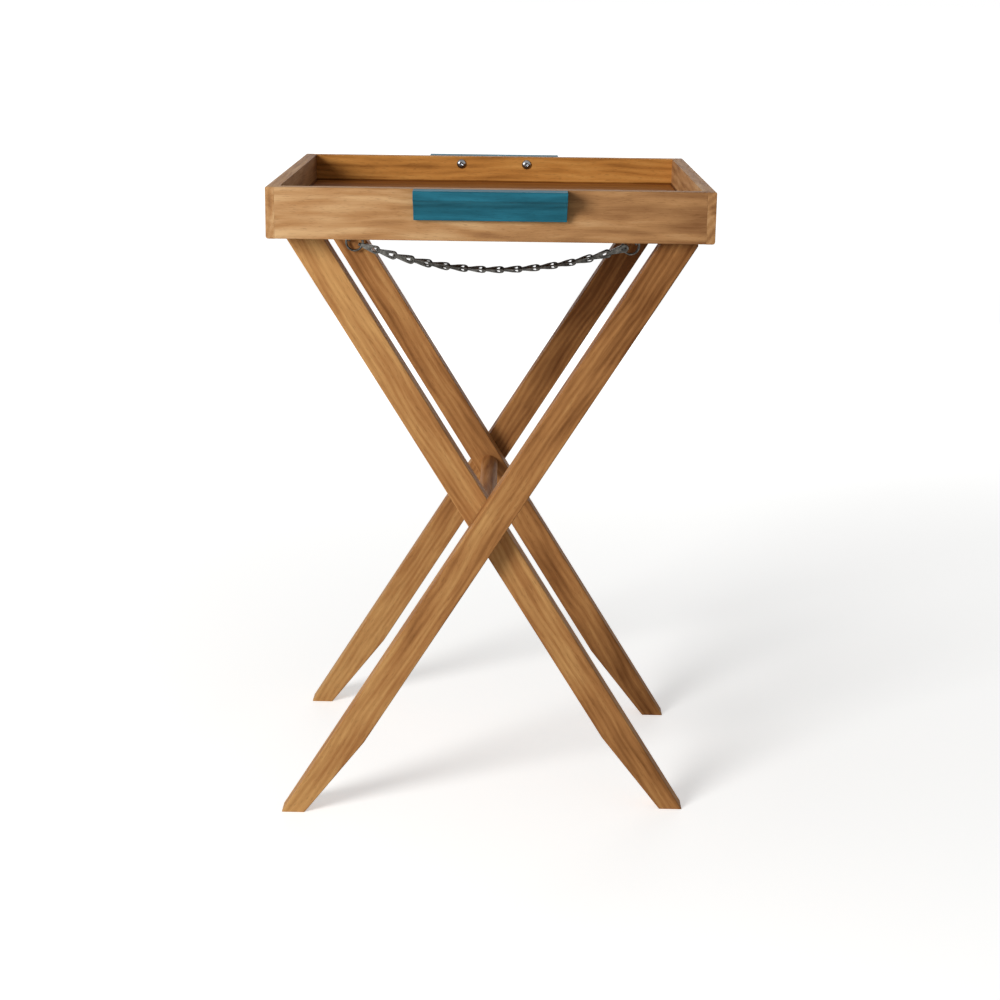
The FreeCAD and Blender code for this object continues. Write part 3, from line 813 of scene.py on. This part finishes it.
@dataclass
class StayChain:
    """Blackened strip-link chain between two wire hooks, with a wire ring at each end.

    Lengths are in metres. Steps of the chain are counted from the left hook: the left ring is step
    0, the links follow, and the right ring is the last.

    Attributes:
        links: strip links between the left ring and the end link.
        pitch: from one waist to the next.
        ring_step: from a hook to the first waist.
        ring_seat: from a ring's middle to what hangs in it.
        ring_radius: radius of a ring's wire line.
        ring_wire: radius of a ring's wire.
        ring_segments: points round a ring.
        hook_wire: radius of a hook's wire.
        hook_bend: radius of a hook's bend.
        bend_steps: points along a hook's bend.
        wire_segments: points round a wire.
        waist: radius of a link's round waist.
        waist_segments: points round a waist.
        nose: radius of a link's narrow end.
        eye: radius of a link's wide end.
        eye_at: from the waist to the middle of the eye.
        window_at: from the waist to the window's narrow end.
        window_nose: radius of the window's narrow end.
        window_eye: radius of the window's wide end.
        pinhole: the same two radii where there is no window, too small to see.
        strip: thickness of the strip.
        strip_ease: how far the strip's edges are rounded.
        strip_rows: rows of faces from the window to the strip's edge.
        eye_steps: steps round half an eye.
        side_steps: steps along a link's side.
        nose_steps: steps round half a narrow end.
        tip_gap: from the middle plane to a strip at the narrow end, which lies in the eye before.
        eye_gap: from the middle plane to a strip at the eye.
        spread_from: where the two strips start to spread.
        spread_to: where they have spread.
        seam: from the middle plane to a strip's inner face where the strips are pressed together.
        fork_from: where the strips start to part for the next link.
        fork_to: where they have parted.
        twist: turn about its own line of the link that is turned furthest, in degrees.
        twist_from: step at which the twist sets in, and at which it is full.
        twist_to: step at which the twist lessens, and at which it has gone.
        left: where the left hook holds its ring.
        right: where the right hook holds its ring.
        plane: depth of the plane in which the chain hangs.
        steps: length of each step of the chain.
        middle: the step at which the chain is level.
        tangent: rise of the slope's tangent from step to step.
        iron: what the chain, its rings and hooks are made of.
    """

    links: int = 14
    pitch: float = 0.0235
    ring_step: float = 0.0148
    ring_seat: float = 0.0074
    ring_radius: float = 0.01075
    ring_wire: float = 0.00145
    ring_segments: int = 64
    hook_wire: float = 0.0016
    hook_bend: float = 0.003
    bend_steps: int = 8
    wire_segments: int = 20
    waist: float = 0.0016
    waist_segments: int = 24
    nose: float = 0.0021
    eye: float = 0.0053
    eye_at: float = 0.0223
    window_at: float = 0.0184
    window_nose: float = 0.0023
    window_eye: float = 0.00285
    pinhole: tuple[float, float] = (0.00001, 0.00002)
    strip: float = 0.0009
    strip_ease: float = 0.00025
    strip_rows: int = 7
    eye_steps: int = 8
    side_steps: int = 9
    nose_steps: int = 6
    tip_gap: float = 0.00105
    eye_gap: float = 0.00215
    spread_from: float = 0.005
    spread_to: float = 0.017
    seam: float = 0.0001
    fork_from: float = 0.0165
    fork_to: float = 0.021
    twist: float = 54.0
    twist_from: tuple[float, float] = (0.6, 6.6)
    twist_to: tuple[float, float] = (12.0, 15.2)
    left: Vector = field(init=False)
    right: Vector = field(init=False)
    plane: float = field(init=False)
    steps: list[float] = field(init=False)
    middle: float = field(init=False)
    tangent: float = field(init=False)
    iron: Material = field(init=False)

    def __post_init__(self) -> None:
        """Finds the two hooks and the curve in which the chain hangs."""
        self.left, self.right = self.hook_seat("left_hook"), self.hook_seat("right_hook")
        ring_low, ring_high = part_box("left_ring")
        self.plane = (ring_low.y + ring_high.y) / 2
        self.steps = [self.ring_step, *[self.pitch] * (self.links + 1), self.ring_step]
        self.middle = (len(self.steps) - 1) / 2
        self.tangent = self.tangent_step()
        self.iron = BLACK_IRON.material()

    def hook_seat(self, hook: str) -> Vector:
        """Gives the middle of a hook's wire where its ring hangs, in the tray's middle plane."""
        low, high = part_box(hook)
        return Vector(((low.x + high.x) / 2, 0.0, low.z + self.hook_wire))

    def angle(self, number: int) -> float:
        """Gives the slope of one step of the chain."""
        return math.atan(self.tangent * (number - self.middle))

    def heading(self, number: int) -> Vector:
        """Gives the way in which one step of the chain runs."""
        return Vector((math.cos(self.angle(number)), 0.0, math.sin(self.angle(number))))

    def tangent_step(self) -> float:
        """Finds the equal rise of tangent from step to step at which the chain spans the hooks.

        Returns:
            The rise of tangent.
        """
        span = self.right.x - self.left.x
        slack, tight = 1.0, 0.0
        for _ in range(HALVINGS):
            self.tangent = (slack + tight) / 2
            width = sum(length * math.cos(self.angle(n)) for n, length in enumerate(self.steps))
            slack, tight = (self.tangent, tight) if width < span else (slack, self.tangent)
        return self.tangent

    def seat(self, number: int) -> Vector:
        """Gives the point where one step of the chain starts.

        Args:
            number: the step.

        Returns:
            The point in the shared frame.
        """
        point = Vector((self.left.x, self.plane, self.left.z))
        for n in range(number):
            point += self.steps[n] * self.heading(n)
        return point

    def loop(self, near: float, near_radius: float, far: float,
             far_radius: float) -> list[tuple[float, float]]:
        """Draws the hull of two circles on the X axis, from the far end round by the near one.

        Args:
            near: middle of the near circle.
            near_radius: its radius.
            far: middle of the far circle.
            far_radius: its radius.

        Returns:
            Points x, z of a closed loop, as many for any sizes.
        """
        touch = math.pi / 2 + math.asin((far_radius - near_radius) / (far - near))
        upper = [(far + far_radius * math.cos(a), far_radius * math.sin(a))
                 for a in (touch * n / self.eye_steps for n in range(self.eye_steps + 1))]
        x, z = upper[-1]
        to_x, to_z = near + near_radius * math.cos(touch), near_radius * math.sin(touch)
        upper += [(x + (to_x - x) * n / self.side_steps, z + (to_z - z) * n / self.side_steps)
                  for n in range(1, self.side_steps)]
        upper += [(near + near_radius * math.cos(a), near_radius * math.sin(a))
                  for a in (touch + (math.pi - touch) * n / self.nose_steps
                            for n in range(self.nose_steps + 1))]
        return upper + [(x, -z) for x, z in reversed(upper[1:-1])]

    def strip_plate(self, shape: BMesh, side: int, windowed: bool) -> None:
        """Adds one of a link's two strips, with its edges rounded.

        Args:
            shape: the link's shape.
            side: which strip, 1 or -1.
            windowed: whether the eye has its window.
        """
        half, ease = self.strip / 2, self.strip_ease
        small, large = (self.window_nose, self.window_eye) if windowed else self.pinhole
        outer = self.loop(0.0, self.nose, self.eye_at, self.eye)
        outer_in = self.loop(0.0, self.nose - ease, self.eye_at, self.eye - ease)
        inner = self.loop(self.window_at, small, self.eye_at, large)
        inner_out = self.loop(self.window_at, small + ease, self.eye_at, large + ease)
        face = []
        for row in range(self.strip_rows + 1):
            share = row / self.strip_rows
            face.append([(a[0] + (b[0] - a[0]) * share, a[1] + (b[1] - a[1]) * share)
                         for a, b in zip(inner_out, outer_in)])
        # The section's lines go once round the strip, each with its height over the strip's middle.
        lines = [(inner, ease - half), (inner, half - ease), *((line, half) for line in face),
                 (outer, half - ease), (outer, ease - half),
                 *((line, -half) for line in reversed(face))]
        loops = []
        for line, lift in lines:
            depths = [self.strip_at(x) + lift if lift > 0 else self.inner_at(x) + half + lift
                      for x, _ in line]
            loops.append([shape.verts.new((x, side * y, z)) for (x, z), y in zip(line, depths)])
        skin(shape, [*loops, loops[0]])

    def strip_at(self, x: float) -> float:
        """Gives how far a strip stands from the link's middle plane.

        Args:
            x: place along the link.

        Returns:
            The distance, which grows smoothly from the narrow end to the eye.
        """
        share = smooth_rise(x, self.spread_from, self.spread_to)
        return self.tip_gap + (self.eye_gap - self.tip_gap) * share

    def inner_at(self, x: float) -> float:
        """Gives how far a strip's inner face stands from the link's middle plane.

        Args:
            x: place along the link.

        Returns:
            The distance: the strips are pressed together up to the eye, and fork there round the
            next link.
        """
        share = smooth_rise(x, self.fork_from, self.fork_to)
        return self.seam + (self.eye_gap - self.strip / 2 - self.seam) * share

    def pin(self, shape: BMesh, x: float) -> None:
        """Adds a round waist across the two strips and through the eye that holds it.

        Args:
            shape: the link's shape.
            x: where the waist is along the link.
        """
        place = Matrix.Translation((x, 0, 0)) @ Matrix.Rotation(math.pi / 2, 4, "X")
        bmesh.ops.create_cone(shape, cap_ends=True, segments=self.waist_segments,
                              radius1=self.waist, radius2=self.waist,
                              depth=2 * self.eye_gap + self.strip, matrix=place)

    def strip_link(self, closed: bool) -> Mesh:
        """Builds one link along +X, with its waist at the origin.

        Args:
            closed: whether it is the end link, with a second waist in place of the window.

        Returns:
            The link's mesh.
        """
        shape = bmesh.new()
        for side in (-1, 1):
            self.strip_plate(shape, side, windowed=not closed)
        self.pin(shape, 0.0)
        if closed:
            self.pin(shape, self.pitch)
        return mesh_piece("end_link" if closed else "strip_link", shape)

    def link_tree(self) -> NodeTree:
        """Makes the tree that hangs links one after another, each a little steeper than the last.

        Returns:
            The tree.
        """
        tree, sizes = new_tree("hanging_links", {
            "Links": Kind.COUNT, "First Step": Kind.NUMBER, "Level Step": Kind.NUMBER,
            "Pitch": Kind.NUMBER, "Tangent Step": Kind.NUMBER, "Start": Kind.PLACE,
            "Twist": Kind.NUMBER, "Twist Starts": Kind.NUMBER, "Twist Full": Kind.NUMBER,
            "Twist Lessens": Kind.NUMBER, "Twist Gone": Kind.NUMBER, "Finish": Kind.FINISH})
        row = add_node(tree, "GeometryNodeMeshLine", {"Count": sizes["Links"]})
        number = add_node(tree, "GeometryNodeInputIndex")
        step = add_node(tree, "ShaderNodeMath", {0: number, 1: sizes["First Step"]},
                        operation="ADD")
        from_level = add_node(tree, "ShaderNodeMath", {0: step, 1: sizes["Level Step"]},
                              operation="SUBTRACT")
        tangent = add_node(tree, "ShaderNodeMath", {0: from_level, 1: sizes["Tangent Step"]},
                           operation="MULTIPLY")
        slope = add_node(tree, "ShaderNodeMath", {0: tangent}, operation="ARCTANGENT")
        reach = {}
        for axis, operation in (("X", "COSINE"), ("Z", "SINE")):
            part = add_node(tree, "ShaderNodeMath", {0: slope}, operation=operation)
            part = add_node(tree, "ShaderNodeMath", {0: part, 1: sizes["Pitch"]},
                            operation="MULTIPLY")
            reach[axis] = add_node(tree, "GeometryNodeAccumulateField", {"Value": part}, "Trailing",
                                   data_type="FLOAT")
        along = add_node(tree, "ShaderNodeCombineXYZ", reach)
        place = add_node(tree, "ShaderNodeVectorMath", {0: along, 1: sizes["Start"]},
                         operation="ADD")
        hung = add_node(tree, "GeometryNodeSetPosition", {"Geometry": row, "Position": place})
        tilt = add_node(tree, "ShaderNodeMath", {0: slope, 1: -1.0}, operation="MULTIPLY")
        twist = sizes["Twist"]
        for none, full in (("Twist Starts", "Twist Full"), ("Twist Gone", "Twist Lessens")):
            share = add_node(tree, "ShaderNodeMapRange", {
                "Value": step, "From Min": sizes[none], "From Max": sizes[full]})
            twist = add_node(tree, "ShaderNodeMath", {0: share, 1: twist}, operation="MULTIPLY")
        turn = add_node(tree, "ShaderNodeCombineXYZ", {0: twist, 1: tilt})
        links = add_node(tree, "GeometryNodeInstanceOnPoints", {
            "Points": hung, "Instance": sizes["Geometry"], "Rotation": turn})
        end_tree(tree, links, sizes["Finish"])
        return tree

    def hang(self, tree: NodeTree, name: str, first: int, count: int,
             link: Mesh, *nodes: str) -> None:
        """Hangs a run of links on the chain's curve.

        Args:
            tree: the tree that hangs links.
            name: the new piece's name.
            first: the first link's step.
            count: how many links.
            link: the mesh of one link.
            nodes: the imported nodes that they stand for.
        """
        piece = bake(name, tree, {
            "Links": count, "First Step": float(first), "Level Step": self.middle,
            "Pitch": self.pitch, "Tangent Step": self.tangent, "Start": tuple(self.seat(first)),
            "Twist": math.radians(self.twist), "Twist Starts": self.twist_from[0],
            "Twist Full": self.twist_from[1], "Twist Lessens": self.twist_to[0],
            "Twist Gone": self.twist_to[1], "Finish": self.iron}, link)
        fit(piece, "stay_chain", "black_iron", *nodes)

    def ring_tree(self) -> NodeTree:
        """Makes the tree of a wire ring, with its axis along Y.

        Returns:
            The tree.
        """
        tree, sizes = new_tree("wire_ring", {
            "Radius": Kind.NUMBER, "Wire": Kind.NUMBER, "Middle": Kind.PLACE,
            "Finish": Kind.FINISH})
        line, section = (add_node(tree, "GeometryNodeCurvePrimitiveCircle", {
            "Resolution": points, "Radius": sizes[radius]})
            for points, radius in ((self.ring_segments, "Radius"), (self.wire_segments, "Wire")))
        wire = add_node(tree, "GeometryNodeCurveToMesh", {0: line, 1: section})
        upright = add_node(tree, "GeometryNodeTransform", {
            "Geometry": wire, "Translation": sizes["Middle"], "Rotation": (math.pi / 2, 0, 0)})
        end_tree(tree, upright, sizes["Finish"])
        return tree

    def hook_tree(self) -> NodeTree:
        """Makes the tree of a screw hook: a wire shank, bent up into an open tip.

        Returns:
            The tree.
        """
        tree, sizes = new_tree("wire_hook", {
            "Wire": Kind.NUMBER, "Bend": Kind.NUMBER, "Finish": Kind.FINISH})
        line = add_node(tree, "GeometryNodeMeshToCurve", {0: sizes["Geometry"]})
        bent = add_node(tree, "GeometryNodeFilletCurve", {
            "Curve": line, "Radius": sizes["Bend"], "Count": self.bend_steps,
            "Limit Radius": True}, mode="POLY")
        section = add_node(tree, "GeometryNodeCurvePrimitiveCircle", {
            "Resolution": self.wire_segments, "Radius": sizes["Wire"]})
        wire = add_node(tree, "GeometryNodeCurveToMesh", {0: bent, 1: section, "Fill Caps": True})
        end_tree(tree, wire, sizes["Finish"])
        return tree

    def build(self) -> None:
        """Makes the links, rings and hooks."""
        tree = self.link_tree()
        names = [f"chain_link_{n:02d}" for n in range(1, self.links + 1)]
        self.hang(tree, "strip_links", 1, self.links, self.strip_link(closed=False), *names)
        self.hang(tree, "closed_link", self.links + 1, 1, self.strip_link(closed=True),
                  "chain_end_link")
        rings = self.ring_tree()
        last = len(self.steps) - 1
        for name, number, body, node in (("left_wire_ring", 0, "left_ring", "left_ring"),
                                         ("right_wire_ring", last, "stay_chain", "right_ring")):
            middle = self.seat(number) + self.heading(number) * self.ring_seat
            piece = bake(name, rings, {"Radius": self.ring_radius, "Wire": self.ring_wire,
                                       "Middle": tuple(middle), "Finish": self.iron})
            fit(piece, body, "black_iron", node)
        hooks = self.hook_tree()
        for name, place, body, node in (
                ("left_wire_hook", self.left, "inner_frame", "left_hook"),
                ("right_wire_hook", self.right, "outer_frame", "right_hook")):
            low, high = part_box(node)
            bend = low.y + self.hook_wire
            line = bpy.data.meshes.new(f"{name}_line")
            line.from_pydata([(place.x, high.y, place.z), (place.x, bend, place.z),
                              (place.x, bend, high.z)], [(0, 1), (1, 2)], [])
            piece = bake(name, hooks, {"Wire": self.hook_wire, "Bend": self.hook_bend,
                                       "Finish": self.iron}, line)
            fit(piece, body, "black_iron", node)


@dataclass(frozen=True)
class Lamp:
    """A square soft lamp.

    Attributes:
        place: where its middle is, in metres.
        power: its power, in watts.
        width: its width, in metres.
    """

    place: tuple[float, float, float]
    power: float
    width: float


@dataclass
class Studio:
    """A pale floor, a soft lamp at the front left, a weak one behind, an even sky and the camera.

    Attributes:
        eye: where the camera stands, in metres.
        yaw: its turn to the left, in radians.
        pitch: its tilt down.
        roll: its turn about its own axis.
        lens: focal length, in millimetres.
        picture: width of the picture behind the lens, in millimetres.
        shift: how far the picture's middle lies from the lens's axis, as a share of its width.
        lamps: the lamps by name.
        lamp_aim: what they point at.
        sky: strength of the even light.
        floor_reach: from the table to the floor's edge, in metres.
        floor_colour: colour of the floor's paint.
        floor_glow: plain white that the floor adds for the camera, at distances from the table.
    """

    eye: tuple[float, float, float] = (0.0197, -2.2849, 0.9725)
    yaw: float = 0.0196
    pitch: float = 0.2521
    roll: float = 0.011
    lens: float = 67.03
    picture: float = 36.0
    shift: tuple[float, float] = (0.0314, -0.0305)
    lamps: dict[str, Lamp] = field(default_factory=lambda: {
        "front_lamp": Lamp((-2.1, -2.4, 1.64), 90.0, 1.2),
        "rear_lamp": Lamp((0.3, 3.2, 1.3), 17.0, 2.2),
    })
    lamp_aim: tuple[float, float, float] = (0.0, 0.0, 0.5)
    sky: float = 0.2
    floor_reach: float = 150.0
    floor_colour: str = "#fafaf8"
    floor_glow: tuple[tuple[float, float], ...] = ((0.4, 0.455), (2.2, 0.70), (8.0, 1.0))

    def build(self) -> None:
        """Sets up the floor, the light and the camera."""
        self.set_floor()
        self.hang_lamps()
        self.set_sky()
        self.set_camera()
        bpy.context.scene.view_settings.view_transform = "Standard"

    @staticmethod
    def seen_directly(tree: NodeTree) -> NodeSocket:
        """Adds the test for light that goes straight to the camera or by way of a reflection.

        Args:
            tree: the material's or world's tree.

        Returns:
            1 for a ray of that kind, and 0 for others.
        """
        path = add_node(tree, "ShaderNodeLightPath").node.outputs
        seen = path["Is Camera Ray"]
        for ray in ("Is Glossy Ray", "Is Transmission Ray"):
            seen = add_node(tree, "ShaderNodeMath", {0: seen, 1: path[ray]}, operation="MAXIMUM")
        return seen

    def set_floor(self) -> None:
        """Lays a wide pale floor that keeps a soft shadow."""
        shape = bmesh.new()
        bmesh.ops.create_grid(shape, x_segments=1, y_segments=1, size=self.floor_reach)
        floor = bpy.data.objects.new("pale_floor", mesh_piece("pale_floor", shape))
        bpy.context.scene.collection.objects.link(floor)
        # Matt floor paint with a plain white added, which hides where the floor ends.
        material = bpy.data.materials.new("matt_floor_paint")
        material.use_nodes = True
        tree = material.node_tree
        tree.nodes.clear()
        matt = add_node(tree, "ShaderNodeBsdfDiffuse", {"Color": linear(self.floor_colour)})
        place = add_node(tree, "ShaderNodeTexCoord", out="Object")
        away = add_node(tree, "ShaderNodeVectorMath", {0: place}, "Value", operation="LENGTH")
        white = self.floor_glow[0][1]
        for (near, dim), (far, bright) in zip(self.floor_glow, self.floor_glow[1:]):
            more = add_node(tree, "ShaderNodeMapRange", {
                "Value": away, "From Min": near, "From Max": far, "To Max": bright - dim})
            white = add_node(tree, "ShaderNodeMath", {0: more, 1: white}, operation="ADD")
        share = add_node(tree, "ShaderNodeMath", {0: self.seen_directly(tree), 1: white},
                         operation="MULTIPLY")
        glow = add_node(tree, "ShaderNodeEmission", {"Color": linear(WHITE), "Strength": share})
        mixed = add_node(tree, "ShaderNodeAddShader", {0: matt, 1: glow})
        add_node(tree, "ShaderNodeOutputMaterial", {0: mixed})
        floor.data.materials.append(material)

    def hang_lamps(self) -> None:
        """Hangs the lamps and points them at the table."""
        for name, lamp in self.lamps.items():
            light = bpy.data.lights.new(name, "AREA")
            light.energy = lamp.power
            light.size = lamp.width
            holder = bpy.data.objects.new(name, light)
            holder.location = lamp.place
            turn = (Vector(lamp.place) - Vector(self.lamp_aim)).to_track_quat("Z", "Y")
            holder.rotation_euler = turn.to_euler()
            bpy.context.scene.collection.objects.link(holder)

    def set_sky(self) -> None:
        """Sets the sky, which is white to the camera and dimmer as a light."""
        world = bpy.data.worlds.new("studio_sky")
        world.use_nodes = True
        tree = world.node_tree
        tree.nodes.clear()
        strength = add_node(tree, "ShaderNodeMapRange", {
            "Value": self.seen_directly(tree), "To Min": self.sky, "To Max": 1.0})
        sky = add_node(tree, "ShaderNodeBackground", {"Color": linear(WHITE), "Strength": strength})
        add_node(tree, "ShaderNodeOutputWorld", {0: sky})
        bpy.context.scene.world = world

    def set_camera(self) -> None:
        """Stands the camera where the picture was taken from."""
        flat_right = Vector((math.cos(self.yaw), math.sin(self.yaw), 0.0))
        flat_ahead = Vector((-math.sin(self.yaw), math.cos(self.yaw), 0.0))
        rise = Vector((0.0, 0.0, 1.0))
        ahead = math.cos(self.pitch) * flat_ahead - math.sin(self.pitch) * rise
        upward = math.sin(self.pitch) * flat_ahead + math.cos(self.pitch) * rise
        right = math.cos(self.roll) * flat_right + math.sin(self.roll) * upward
        above = math.cos(self.roll) * upward - math.sin(self.roll) * flat_right
        lens = bpy.data.cameras.new("picture_camera")
        lens.lens = self.lens
        lens.sensor_width = self.picture
        lens.shift_x, lens.shift_y = self.shift
        camera = bpy.data.objects.new("picture_camera", lens)
        axes = Matrix((right, above, -ahead)).transposed().to_4x4()
        camera.matrix_world = Matrix.Translation(self.eye) @ axes
        bpy.context.scene.collection.objects.link(camera)
        bpy.context.scene.camera = camera


def main() -> None:
    """Builds and dresses the table, then the studio."""
    logging.basicConfig(level=logging.INFO, format="%(message)s")
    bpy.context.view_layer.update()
    tray = Tray()
    tray.dress()
    tray.build()
    Stand().dress()
    StayChain().build()
    Studio().build()


if __name__ == "__main__":
    main()
